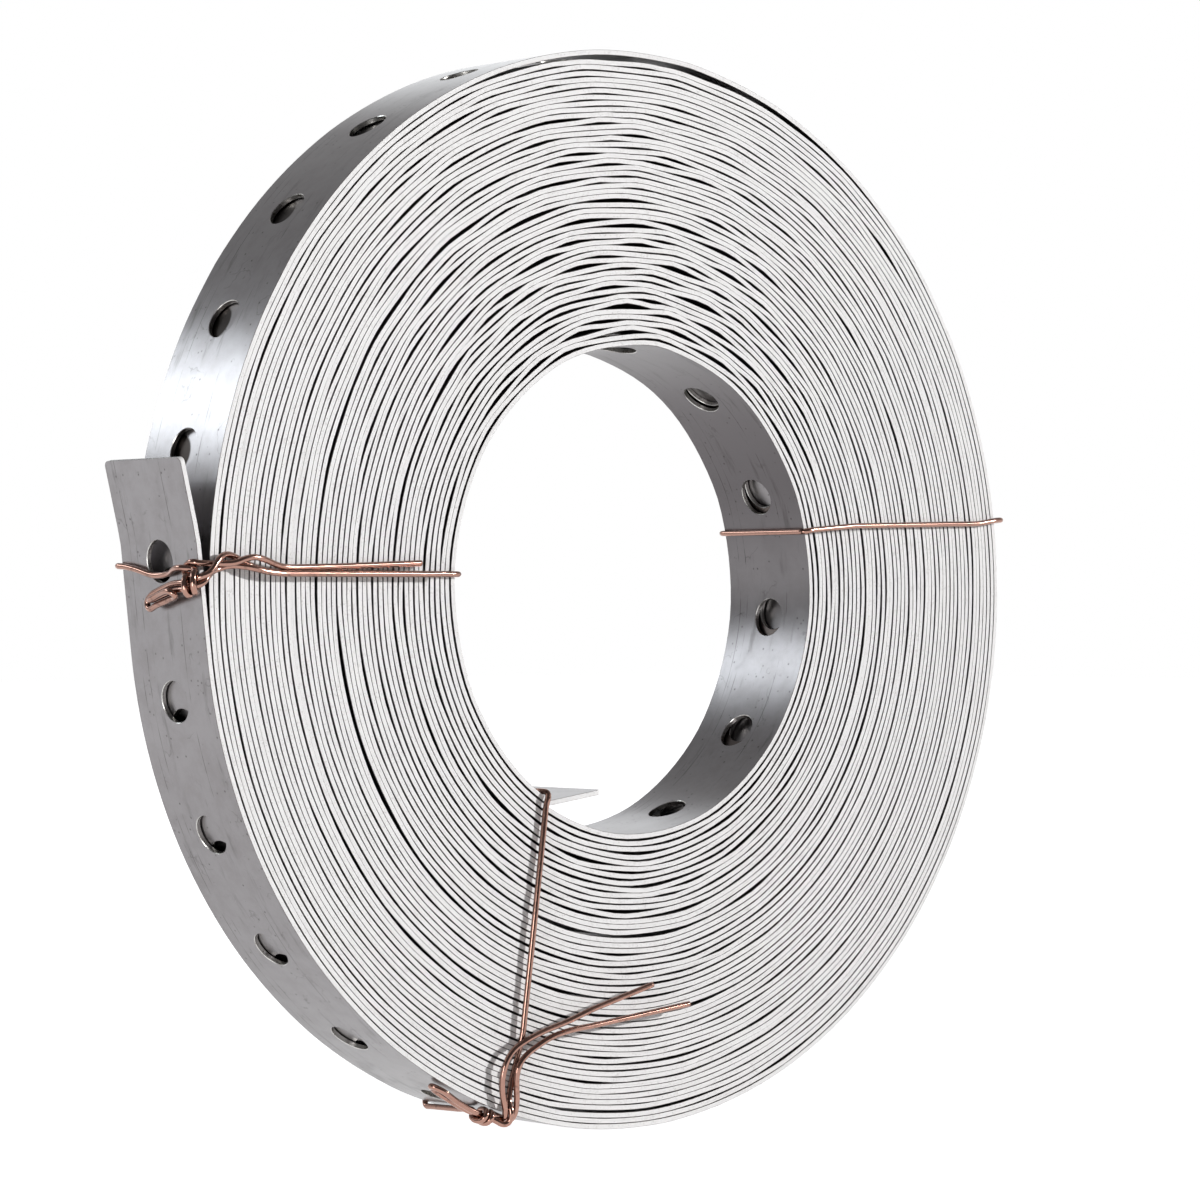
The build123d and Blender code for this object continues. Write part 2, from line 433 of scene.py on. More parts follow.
    def pierced_stretch(self, first: int, last: int) -> Shape:
        """A stretch of cells, one hole in each.

        In words: rings of points blend from a circle at the hole to the cell's outline, on the outer
        face, through the hole and back on the inner face. The blend is a straight one in the flat band.

        Args:
            first: the first hole's number, counted from the inner end.
            last: the last hole's number.

        Returns:
            The stretch as a shape.
        """
        half, side = self.thickness / 2, self.hole_points // 4
        reach, wide = self.pitch / 2, self.width / 2 - self.shoulder_across
        run = np.linspace(-1, 1, side + 1)[:-1]
        one = np.ones(side)
        outline = np.stack([np.concatenate([one, -run, -one, run]) * reach,
                            np.concatenate([run, one, -run, -one]) * wide], axis=-1)
        turn = 2 * pi * (np.arange(self.hole_points) / self.hole_points - 0.125)
        circle = np.stack([np.cos(turn), np.sin(turn)], axis=-1)
        hole = self.hole_diameter / 2
        blends = np.array([1, 0.62, 0.32, 0.12, 0])
        rings = [circle * (hole + self.hole_bevel) * (1 - b) + outline * b for b in blends]
        flat = np.stack(rings + [circle * hole] * 2 + rings[::-1])
        low = half - self.hole_bevel
        lift = np.concatenate([np.full(len(blends), half), [low, -low], np.full(len(blends), -half)])
        numbers = np.arange(first, last + 1)
        middle = self.inner_first_hole + numbers * self.pitch
        along = middle[:, None, None] + flat[None, :, :, 0]
        across = np.broadcast_to(flat[None, :, :, 1], along.shape)
        points = self.place(along, across, np.broadcast_to(lift[None, :, None], along.shape))
        depth = len(lift)
        cell = grid_quads(depth, self.hole_points, True)
        kinds = np.full(depth - 1, Surface.FACE)
        kinds[len(blends) - 1:len(blends) + 2] = Surface.HOLE
        shift = (np.arange(len(numbers)) * depth * self.hole_points)[:, None, None]
        cells = Shape(points.reshape(-1, 3), (cell[None] + shift).reshape(-1, 4),
                      np.tile(np.repeat(kinds, self.hole_points), len(numbers)), along.ravel())
        stations = middle[0] - reach + np.arange(len(numbers) * side + 1) * self.pitch / side
        return cells.joined(self.cut_edge(stations, 1)).joined(self.cut_edge(stations, -1))

    def cut_edge(self, stations: np.ndarray, hand: int) -> Shape:
        """A cut edge and its two shoulders, along a stretch of full width.

        Args:
            stations: lengths along the band.
            hand: 1 for the far edge, -1 for the near one.

        Returns:
            The edge as a shape.
        """
        half, wide = self.thickness / 2, self.width / 2
        across = hand * np.array([wide - self.shoulder_across, wide, wide, wide - self.shoulder_across])
        lift = np.array([half, half - self.shoulder_down, self.shoulder_down - half, -half])
        along = np.repeat(stations[:, None], 4, axis=1)
        points = self.place(along, np.broadcast_to(across, along.shape),
                            np.broadcast_to(lift, along.shape))
        kinds = np.array([Surface.SHOULDER, Surface.EDGE, Surface.SHOULDER])
        return Shape(points.reshape(-1, 3), grid_quads(len(stations), 4, False),
                     np.tile(kinds, len(stations) - 1), along.ravel())

    def tip_stations(self, inner: float, tip: float) -> np.ndarray:
        """Stations from a joint to a tip, close together where the corners are round.

        Args:
            inner: where the plain end joins the rest.
            tip: the band's end.

        Returns:
            Lengths along the band, rising.
        """
        hand = 1 if tip > inner else -1
        round_part = self.corner_radius * (1 - np.sin(np.linspace(0, pi / 2, 9)))
        knee = tip - hand * self.corner_radius
        count = ceil(abs(knee - inner) / 0.6)
        stations = np.concatenate([np.linspace(inner, knee, count, endpoint=False),
                                   tip - hand * round_part])
        return np.sort(stations)

    def build(self, materials: list) -> list:
        """Makes the band as three pieces that join end to end.

        Args:
            materials: the finishes of its faces, cut edges and holes.

        Returns:
            The three objects.
        """
        columns = self.hole_points // 4 + 1
        reach = self.pitch / 2
        middle = self.inner_first_hole + np.arange(self.last_hole + 1) * self.pitch
        lead = self.station_spacing * 2
        first_outer = self.last_hole - self.outer_pierced + 1
        inner_joint = middle[self.inner_pierced - 1] + reach
        outer_joint = middle[first_outer] - reach
        inner = self.plain_stretch(self.tip_stations(middle[0] - reach, self.start), columns, (True, False))
        inner = inner.joined(self.pierced_stretch(0, self.inner_pierced - 1))
        inner = inner.joined(self.plain_stretch(np.array([inner_joint, inner_joint + lead]), columns,
                                                (False, True)))
        outer = self.plain_stretch(np.array([outer_joint - lead, outer_joint]), columns, (True, False))
        outer = outer.joined(self.pierced_stretch(first_outer, self.last_hole))
        outer = outer.joined(self.plain_stretch(self.tip_stations(middle[-1] + reach, self.end), columns,
                                                (False, True)))
        length = outer_joint - inner_joint - 2 * lead
        stations = np.linspace(inner_joint + lead, outer_joint - lead, round(length / self.station_spacing))
        core = self.plain_stretch(stations, 2, (True, True))
        pieces = [make_object("band_inner_turns", inner, materials, 25, 0.002),
                  make_object("band_middle_turns", core, materials, 25),
                  make_object("band_outer_turns", outer, materials, 25, 0.002)]
        for piece in pieces:
            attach(piece, "root")
            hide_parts("steel_band")
            journal.info("%s: %d faces", piece.name, len(piece.data.polygons))
        return pieces


def curve_through(points: np.ndarray, per_span: int) -> np.ndarray:
    """A smooth curve through points.

    In words: a cubic on each span, whose slope at a point is the mean of the two spans beside it,
    each weighted by the other's length.

    Args:
        points: the points to go through.
        per_span: how many steps each span is cut into.

    Returns:
        The points of the curve.
    """
    span = np.linalg.norm(np.diff(points, axis=0), axis=1)[:, None]
    steep = np.diff(points, axis=0) / span
    slope = np.empty_like(points)
    slope[1:-1] = (steep[:-1] * span[1:] + steep[1:] * span[:-1]) / (span[1:] + span[:-1])
    slope[0], slope[-1] = steep[0], steep[-1]
    t = (np.arange(per_span) / per_span)[None, :, None]
    a, b, m, n = points[:-1, None], points[1:, None], slope[:-1, None], slope[1:, None]
    size = span[:, None]
    path = (a * (2 * t ** 3 - 3 * t ** 2 + 1) + b * (3 * t ** 2 - 2 * t ** 3)
            + size * (m * (t ** 3 - 2 * t ** 2 + t) + n * (t ** 3 - t ** 2)))
    return np.concatenate([path.reshape(-1, 3), points[-1:]])


def evened(path: np.ndarray, step: float) -> np.ndarray:
    """The same path with points at even steps, by straight interpolation over its length.

    Args:
        path: the points of a path.
        step: about how far apart the new points lie.

    Returns:
        The new points.
    """
    gone = np.concatenate([[0], np.cumsum(np.linalg.norm(np.diff(path, axis=0), axis=1))])
    even = np.linspace(0, gone[-1], round(gone[-1] / step) + 1)
    return np.stack([np.interp(even, gone, path[:, axis]) for axis in range(3)], axis=-1)


def softened(path: np.ndarray, rounds: int) -> np.ndarray:
    """A path whose inner points have moved to the mean of themselves and their two neighbours' middle.

    Args:
        path: the points of a path.
        rounds: how often they move.

    Returns:
        The moved points.
    """
    for _ in range(rounds):
        middle = (path[:-2] + path[2:]) / 2
        path = np.concatenate([path[:1], (path[1:-1] + middle) / 2, path[-1:]])
    return path


def settled(path: np.ndarray, gap: float, step: float, rounds: int = 40) -> np.ndarray:
    """Moves a wire's strands apart where they would run through each other.

    In words: two points that lie far apart along the wire, but nearer than the gap in space, each move
    away from the other by half of what is missing. The moves of a point are averaged, and softened along
    the wire, over some rounds.

    Args:
        path: the wire's middle at even steps.
        gap: the least distance of two strands' middles.
        step: the distance of two points along the wire.
        rounds: how often the strands move.

    Returns:
        The moved points.
    """
    order = np.arange(len(path))
    separate = np.abs(order[:, None] - order[None]) * step > 2.6 * gap
    for _ in range(rounds):
        away = path[:, None] - path[None]
        far = np.linalg.norm(away, axis=2)
        lack = np.where(separate & (far < gap), gap - far, 0.0)
        move = (away * (lack / np.maximum(far, 0.01))[..., None]).sum(axis=1)
        move /= np.maximum((lack > 0).sum(axis=1), 1)[:, None]
        path = path + softened(move, 3)
    return path


def with_straights(points: list, long_span: float, lead: float) -> np.ndarray:
    """Adds a point near each end of every long span, so that a curve is straight between them.

    Args:
        points: the route.
        long_span: spans longer than this are straight.
        lead: how far from a long span's ends the added points lie.

    Returns:
        The longer route.
    """
    route = [np.array(points[0], float)]
    for point in points[1:]:
        start, stop = route[-1], np.array(point, float)
        size = np.linalg.norm(stop - start)
        if size > long_span:
            step = (stop - start) / size * lead
            route += [start + step, stop - step]
        route.append(stop)
    return np.array(route)


def wraps(centres: tuple, outward: tuple, upward: tuple, reach: tuple, angles: tuple) -> list:
    """Turns of wire round a bundle.

    In words: the centre moves evenly from the first to the last while the angle turns. Each point is
    the centre, plus the cosine of the angle times the reach outwards, plus the sine times the reach
    upwards. The two directions also change evenly.

    Args:
        centres: the first and the last centre.
        outward: the first and the last direction away from the coil.
        upward: the first and the last direction across the bundle.
        reach: how far the wire's middle stands outwards and upwards of the centre.
        angles: the first and the last angle in degrees, from outwards towards upwards.

    Returns:
        The points.
    """
    count = ceil(abs(angles[1] - angles[0]) / 30) + 1
    share = np.linspace(0, 1, count)[:, None]
    turn = np.radians(angles[0] + (angles[1] - angles[0]) * share)
    middle, out, up = [np.array(pair[0], float) * (1 - share) + np.array(pair[1], float) * share
                       for pair in (centres, outward, upward)]
    out /= np.linalg.norm(out, axis=1)[:, None]
    up /= np.linalg.norm(up, axis=1)[:, None]
    points = middle + reach[0] * np.cos(turn) * out + reach[1] * np.sin(turn) * up
    return points.tolist()


def on_rim(radius: float, angle: float, across: float) -> tuple:
    """A point at a radius, an angle about the axis and a place along the axis.

    Args:
        radius: distance from the coil's axis.
        angle: degrees from +X towards +Z.
        across: place along the axis.

    Returns:
        The point.
    """
    return radius * cos(radians(angle)), across, radius * sin(radians(angle))


@dataclass
class TieWire:
    """A soft wire through chosen points, its two ends cut off square."""

    diameter: float = 1.0
    sides: int = 12
    per_span: int = 8
    long_span: float = 9.0
    lead: float = 2.0
    step: float = 0.45
    name = "wire"
    node = "wire"

    def route(self) -> list:
        """The points that the wire's middle goes through."""
        raise NotImplementedError

    def path(self) -> np.ndarray:
        """The wire's middle, as close points."""
        rough = curve_through(with_straights(self.route(), self.long_span, self.lead), self.per_span)
        return settled(softened(evened(rough, self.step), 2), self.diameter * 1.02, self.step)

    def tube(self) -> Shape:
        """The wire's skin.

        In words: circles of the wire's radius stand square on the curve. Each one's first spoke is the
        one before with its part along the new heading taken away, so that the skin doesn't twist.

        Returns:
            The tube as a shape with closed ends.
        """
        path = self.path()
        heading = np.gradient(path, axis=0)
        heading /= np.linalg.norm(heading, axis=1)[:, None]
        start = np.cross(heading[0], [0.3, 0.5, 0.8])

        def carried(spoke: np.ndarray, ahead: np.ndarray) -> np.ndarray:
            """The spoke made square to the heading ahead, at unit length."""
            square = spoke - ahead * np.dot(spoke, ahead)
            return square / np.linalg.norm(square)

        spokes = np.array(list(accumulate(heading, carried, initial=start)))[1:]
        others = np.cross(heading, spokes)
        turn = 2 * pi * np.arange(self.sides) / self.sides
        around = spokes[:, None] * np.cos(turn)[None, :, None] + others[:, None] * np.sin(turn)[None, :, None]
        radius = self.diameter / 2
        caps = [path[end] + around[end] * radius * 0.7 + heading[end] * out * radius * 0.25
                for end, out in ((0, -1), (-1, 1))]
        rings = np.concatenate([caps[0][None], path[:, None] + around * radius, caps[1][None]])
        rows = len(rings)
        quads = grid_quads(rows, self.sides, True)
        half = np.arange(self.sides // 2 - 1)
        cap = np.stack([half, half + 1, self.sides - 2 - half, self.sides - 1 - half], axis=-1)
        quads = np.concatenate([quads, cap, cap[:, ::-1] + (rows - 1) * self.sides])
        gone = np.concatenate([[0], np.cumsum(np.linalg.norm(np.diff(path, axis=0), axis=1))])
        along = np.repeat(np.concatenate([gone[:1], gone, gone[-1:]]), self.sides)
        return Shape(rings.reshape(-1, 3), quads, np.zeros(len(quads), int), along)

    def build(self, material: bpy.types.Material) -> bpy.types.Object:
        """Makes the wire.

        Args:
            material: its finish.

        Returns:
            The wire's object.
        """
        obj = make_object(self.name, self.tube(), [material], 50)
        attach(obj, "root")
        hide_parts(self.node)
        journal.info("%s: %d faces", obj.name, len(obj.data.polygons))
        return obj


@dataclass
class LeftTie(TieWire):
    """The tie over the tail, with its knot on the rim's near corner."""

    name = "left_tie"
    node = "tie_wire_left"

    def route(self) -> list:
        """From the upper end to the knot, round the coil, through the knot again to the lower end."""
        upper_end = [(-48.9, -11.0, 3.65), (-73.6, -11.0, 2.65), (-77.0, -11.2, 2.8), (-79.1, -11.5, 3.3),
                     (-81.0, -11.8, 3.9), (-83.1, -11.95, 4.25), (-85.0, -11.95, 3.95),
                     (-86.6, -11.8, 3.4), (-88.2, -11.3, 3.15), (-90.4, -10.8, 3.15),
                     (-92.2, -10.8, 3.2), (-93.35, -10.35, 3.2), (-93.45, -8.6, 3.05),
                     (-93.3, -7.5, 2.5)]
        knot = wraps(((-94.1, -9.0, -0.45), (-93.5, -11.0, 0.7)), ((-1, -0.1, 0), (-0.72, -0.7, 0)),
                     ((0, 0.3, 0.95), (0.1, 0.25, 0.95)), (1.02, 1.6), (-210, 440))
        over_rim = [(-94.3, -7.4, 2.55), (-93.8, -5.4, 2.3), (-93.0, -3.4, 1.75), (-92.8, -1.0, 1.45),
                    (-92.8, 1.5, 1.5), (-92.9, 4.5, 2.2), (-93.0, 8.6, 2.9), (-92.95, 10.5, 3.0)]
        far_face = [(-91.8, 10.62, 3.0), (-41.2, 10.62, 2.1), (-40.2, 10.3, 2.0), (-39.95, 9.2, 1.95),
                    (-39.95, -9.2, 1.95), (-40.2, -10.3, 1.95), (-41.2, -10.56, 1.95)]
        near_face = [(-78.0, -10.56, 2.0), (-80.6, -10.56, 2.35), (-82.8, -10.6, 2.9),
                     (-84.6, -10.75, 3.6), (-86.2, -10.85, 4.3), (-87.8, -11.15, 4.65),
                     (-89.2, -11.6, 4.3), (-90.4, -11.95, 3.3), (-91.4, -12.15, 2.2),
                     (-92.5, -12.1, 1.35), (-93.45, -11.45, 0.95)]
        bight = [(-94.1, -10.0, 0.35), (-94.15, -8.0, 0.2), (-93.9, -5.6, 0.1), (-93.4, -3.0, -0.35),
                 (-93.1, -0.4, -1.0), (-93.0, 1.6, -1.75), (-92.95, 2.6, -2.8), (-93.1, 1.8, -3.8),
                 (-93.4, -0.2, -3.3), (-93.7, -2.8, -2.75), (-93.95, -5.2, -2.2), (-94.15, -6.4, -1.98),
                 (-94.6, -7.1, -1.68), (-95.1, -6.8, -1.2), (-95.15, -5.9, -1.0), (-94.95, -4.6, -1.15),
                 (-94.5, -2.6, -1.55), (-94.28, -0.6, -2.1), (-94.1, 0.45, -2.35), (-93.6, 0.95, -2.45),
                 (-93.1, 0.45, -2.3),
                 (-93.3, -1.2, -1.95), (-93.5, -3.2, -1.5), (-93.9, -5.6, -1.05), (-94.15, -8.0, -0.75),
                 (-94.1, -9.9, -0.75), (-93.6, -11.2, -0.2)]
        lower_end = [(-92.7, -11.6, 0.35), (-91.7, -11.4, 1.2), (-90.3, -10.75, 2.0),
                     (-88.6, -10.6, 2.6), (-86.6, -10.7, 2.9), (-84.4, -11.2, 2.85), (-82.4, -11.6, 2.4),
                     (-80.3, -11.65, 2.0), (-77.0, -11.6, 1.75), (-45.3, -11.6, 1.9)]
        return upper_end + knot + over_rim + far_face + near_face + bight + lower_end


@dataclass
class BottomTie(TieWire):
    """The tie at the bottom, whose long ends fan out over the near face."""

    name = "bottom_tie"
    node = "tie_wire_bottom"
    rim_radius: float = 91.85

    def rim_point(self, angle: float, across: float, lift: float) -> tuple:
        """A point of the wire's middle over the rim."""
        return on_rim(self.rim_radius + lift, angle, across)

    def route(self) -> list:
        """From the upper end over the corner to the knot, round the coil and back to the lower end."""
        upper_end = [(0.0, -13.3, -66.8), (-12.6, -12.9, -69.9), (-18.8, -12.6, -71.8),
                     (-24.6, -12.4, -73.3), (-27.7, -12.3, -74.4), (-29.9, -12.1, -75.6),
                     (-31.2, -11.9, -77.2), (-31.8, -11.7, -79.0), (-32.0, -11.5, -81.0),
                     (-31.6, -11.3, -83.6), (-31.0, -11.2, -85.6)]
        out = [self.rim_point(250.6, -10.75, 0.35), self.rim_point(250.0, -9.6, 1.0),
               self.rim_point(248.8, -8.6, 1.0), self.rim_point(246.6, -7.8, 0.9),
               self.rim_point(244.0, -6.9, 0.4), self.rim_point(242.3, -6.6, 0.1),
               self.rim_point(241.4, -7.8, 0.1), self.rim_point(242.3, -9.0, 0.2),
               self.rim_point(244.4, -9.2, 0.6), self.rim_point(247.0, -9.4, 0.95),
               self.rim_point(249.3, -9.9, 1.0), self.rim_point(250.9, -11.0, 0.9)]
        strand = [(-30.1, -11.5, -86.0), (-29.9, -10.75, -84.0), (-29.4, -10.56, -82.0),
                  (-28.2, -10.8, -77.4), (-27.1, -11.1, -73.0), (-24.6, -11.1, -55.0),
                  (-21.75, -10.75, -36.2), (-21.2, -10.72, -34.0), (-21.3, -9.3, -33.8),
                  (-21.3, 9.2, -33.85), (-21.35, 10.5, -34.2), (-21.9, 10.65, -35.6)]
        far_face = [(-29.8, 10.6, -85.6), self.rim_point(250.9, 10.2, 0.0),
                    self.rim_point(250.8, 9.0, 0.0), self.rim_point(249.9, 0.0, 0.0),
                    self.rim_point(249.2, -5.0, 0.1), self.rim_point(248.6, -6.6, 1.2)]
        knot = wraps((self.rim_point(247.9, -8.7, 0.97), self.rim_point(249.0, -9.2, 0.97)),
                     ((-0.4, -0.1, -0.92), (-0.38, -0.2, -0.92)), ((0.1, 1, 0.0), (0.1, 1, 0.0)),
                     (1.02, 1.6), (60, -520))
        lower_end = [self.rim_point(250.9, -8.2, 0.0), self.rim_point(252.0, -9.4, 0.1),
                     (-28.6, -10.6, -86.6), (-28.5, -11.1, -84.4), (-28.9, -11.5, -81.4),
                     (-29.0, -11.8, -79.4), (-28.4, -12.0, -77.8), (-27.1, -12.1, -76.6),
                     (-24.9, -12.2, -75.4), (-21.9, -12.4, -74.1), (-18.2, -12.6, -73.3),
                     (-12.9, -12.8, -72.8), (8.5, -13.3, -70.6)]
        return upper_end + out + strand + far_face + knot + lower_end


@dataclass
class RightTie(TieWire):
    """The tie at the right, its ends twisted together on the far face."""

    name = "right_tie"
    node = "tie_wire_right"
    twist_start: tuple = (87.2, 11.05, 12.7)
    twist_end: tuple = (79.6, 11.05, 12.1)
    twist_turns: float = 2.0

    def twisted(self, phase: float) -> list:
        """One of the two strands of the twist.

        In words: a helix of half a diameter about the line from the twist's start to its end.

        Args:
            phase: the angle at which it starts, in degrees.

        Returns:
            The points.
        """
        share = np.linspace(0, 1, round(self.twist_turns * 8) + 1)[:, None]
        turn = np.radians(phase) + 2 * pi * self.twist_turns * share
        middle = np.array(self.twist_start) * (1 - share) + np.array(self.twist_end) * share
        radius = self.diameter * 0.52
        return (middle + radius * np.cos(turn) * np.array([0, 1, 0])
                + radius * np.sin(turn) * np.array([0, 0, 1])).tolist()

    def route(self) -> list:
        """From one end through the twist, round the coil and back through the twist."""
        first = [(70.0, 11.3, 14.6), (77.6, 11.2, 13.0)] + self.twisted(180)[::-1]
        around = [(89.9, 10.75, 12.0), (91.5, 10.3, 12.1), (91.75, 9.2, 12.4), (91.75, -9.2, 12.95),
                  (91.5, -10.3, 13.0), (90.2, -10.6, 12.95), (85.6, -10.56, 12.3), (77.6, -10.56, 12.0),
                  (64.0, -10.56, 11.6), (52.0, -10.56, 11.25), (41.1, -10.65, 10.35), (39.5, -10.5, 10.1),
                  (39.35, -9.2, 10.05), (39.35, 9.2, 10.05), (39.5, 10.5, 10.1), (41.2, 10.65, 10.2),
                  (84.6, 10.6, 14.3), (87.4, 10.7, 14.3), (89.1, 11.0, 13.9), (88.9, 11.4, 12.9)]
        return first + around + self.twisted(0) + [(77.4, 11.1, 11.6), (74.0, 11.3, 10.6)]


class Tree:
    """Short calls that fill a node tree."""

    def __init__(self, tree: bpy.types.NodeTree) -> None:
        """Keeps the tree and empties it.

        Args:
            tree: the node tree to fill.
        """
        self.tree = tree
        tree.nodes.clear()

    def add(self, kind: str, inputs: dict | None = None, **settings) -> bpy.types.Node:
        """Adds a node.

        Args:
            kind: the node's type.
            inputs: for each input's name or number a value, or another node's output to link.
            settings: properties of the node.

        Returns:
            The node.
        """
        node = self.tree.nodes.new(kind)
        for key, value in settings.items():
            setattr(node, key, value)
        for key, value in (inputs or {}).items():
            if isinstance(value, bpy.types.NodeSocket):
                self.tree.links.new(value, node.inputs[key])
            else:
                node.inputs[key].default_value = value
        return node

    def blend(self, factor: bpy.types.NodeSocket, low: object, high: object,
              mode: str = "MIX") -> bpy.types.NodeSocket:
        """Mixes two colours.

        Args:
            factor: how much of the second.
            low: the first colour or output.
            high: the second colour or output.
            mode: the way of mixing.

        Returns:
            The mixed colour's output.
        """
        node = self.add("ShaderNodeMix", {0: factor, 6: low, 7: high}, data_type="RGBA", blend_type=mode)
        return node.outputs[2]

    def spread(self, value: bpy.types.NodeSocket, low: float, high: float, to_low: float = 0.0,
               to_high: float = 1.0) -> bpy.types.NodeSocket:
        """Carries a range of values over to another, smoothly and within its limits.

        Args:
            value: the values.
            low: where the first range starts.
            high: where it ends.
            to_low: where the second range starts.
            to_high: where it ends.

        Returns:
            The new values' output.
        """
        node = self.add("ShaderNodeMapRange", {"Value": value, "From Min": low, "From Max": high,
                                               "To Min": to_low, "To Max": to_high},
                        interpolation_type="SMOOTHSTEP")
        return node.outputs["Result"]

    def reckon(self, operation: str, first: object, second: object = 0.0) -> bpy.types.NodeSocket:
        """One sum of two values or outputs.

        Args:
            operation: which sum.
            first: the first value.
            second: the second value.

        Returns:
            The result's output.
        """
        return self.add("ShaderNodeMath", {0: first, 1: second}, operation=operation).outputs[0]


def new_group(name: str, inputs: dict, outputs: dict) -> tuple:
    """Starts a shader node group.

    Args:
        name: its name.
        inputs: for each input its socket type and value.
        outputs: for each output its socket type.

    Returns:
        The group, its tree, its input node and its output node.
    """
    group = bpy.data.node_groups.new(name, "ShaderNodeTree")
    for label, (kind, value) in inputs.items():
        socket = group.interface.new_socket(name=label, in_out="INPUT", socket_type=kind)
        if value is not None:
            socket.default_value = value
    for label, kind in outputs.items():
        group.interface.new_socket(name=label, in_out="OUTPUT", socket_type=kind)
    tree = Tree(group)
    return group, tree, tree.add("NodeGroupInput"), tree.add("NodeGroupOutput")


def smudge_group() -> bpy.types.NodeTree:
    """Soft clouds of handling marks: two sizes of noise multiplied, as a mask from 0 to 1.

    Returns:
        The node group.
    """
    group, tree, given, out = new_group(
        "smudges", {"Vector": ("NodeSocketVector", None), "Scale": ("NodeSocketFloat", 60.0),
                    "Cover": ("NodeSocketFloat", 0.5)}, {"Mask": "NodeSocketFloat"})
    wide = tree.add("ShaderNodeTexNoise", {"Vector": given.outputs["Vector"],
                                           "Scale": given.outputs["Scale"], "Detail": 5.0,
                                           "Roughness": 0.62})
    fine_scale = tree.reckon("MULTIPLY", given.outputs["Scale"], 5.3)
    fine = tree.add("ShaderNodeTexNoise", {"Vector": given.outputs["Vector"], "Scale": fine_scale,
                                           "Detail": 3.0})
    product = tree.reckon("MULTIPLY", wide.outputs[0], fine.outputs[0])
    bound = tree.reckon("MULTIPLY", tree.reckon("SUBTRACT", 1.0, given.outputs["Cover"]), 0.5)
    mask = tree.add("ShaderNodeMapRange", {"Value": product, "From Min": bound,
                                           "From Max": tree.reckon("ADD", bound, 0.16)},
                    interpolation_type="SMOOTHSTEP")
    tree.tree.links.new(mask.outputs[0], out.inputs["Mask"])
    return group


def speck_group() -> bpy.types.NodeTree:
    """Scattered specks: the nearness to random points, cut off at a size, thinned out by noise.

    Returns:
        The node group.
    """
    group, tree, given, out = new_group(
        "specks", {"Vector": ("NodeSocketVector", None), "Scale": ("NodeSocketFloat", 900.0),
                   "Size": ("NodeSocketFloat", 0.25), "Share": ("NodeSocketFloat", 0.5)},
        {"Mask": "NodeSocketFloat"})
    cells = tree.add("ShaderNodeTexVoronoi", {"Vector": given.outputs["Vector"],
                                              "Scale": given.outputs["Scale"]})
    near = tree.add("ShaderNodeMapRange", {"Value": cells.outputs["Distance"],
                                           "From Min": given.outputs["Size"], "From Max": 0.0},
                    interpolation_type="SMOOTHSTEP")
    lottery = tree.add("ShaderNodeSeparateColor", {"Color": cells.outputs["Color"]})
    chosen = tree.reckon("LESS_THAN", lottery.outputs[0], given.outputs["Share"])
    tree.tree.links.new(tree.reckon("MULTIPLY", near.outputs[0], chosen), out.inputs["Mask"])
    return group


def grain_group() -> bpy.types.NodeTree:
    """Fine rolling lines: noise stretched along the band's length, as a height from 0 to 1.

    Returns:
        The node group.
    """
    group, tree, given, out = new_group(
        "rolling_grain", {"Vector": ("NodeSocketVector", None), "Fineness": ("NodeSocketFloat", 1.0)},
        {"Height": "NodeSocketFloat"})
    stretched = tree.add("ShaderNodeMapping", {"Vector": given.outputs["Vector"],
                                               "Scale": (18.0, 2400.0, 1.0)})
    lines = tree.add("ShaderNodeTexNoise", {"Vector": stretched.outputs[0],
                                            "Scale": given.outputs["Fineness"], "Detail": 4.0,
                                            "Roughness": 0.7})
    tree.tree.links.new(lines.outputs[0], out.inputs["Height"])
    return group


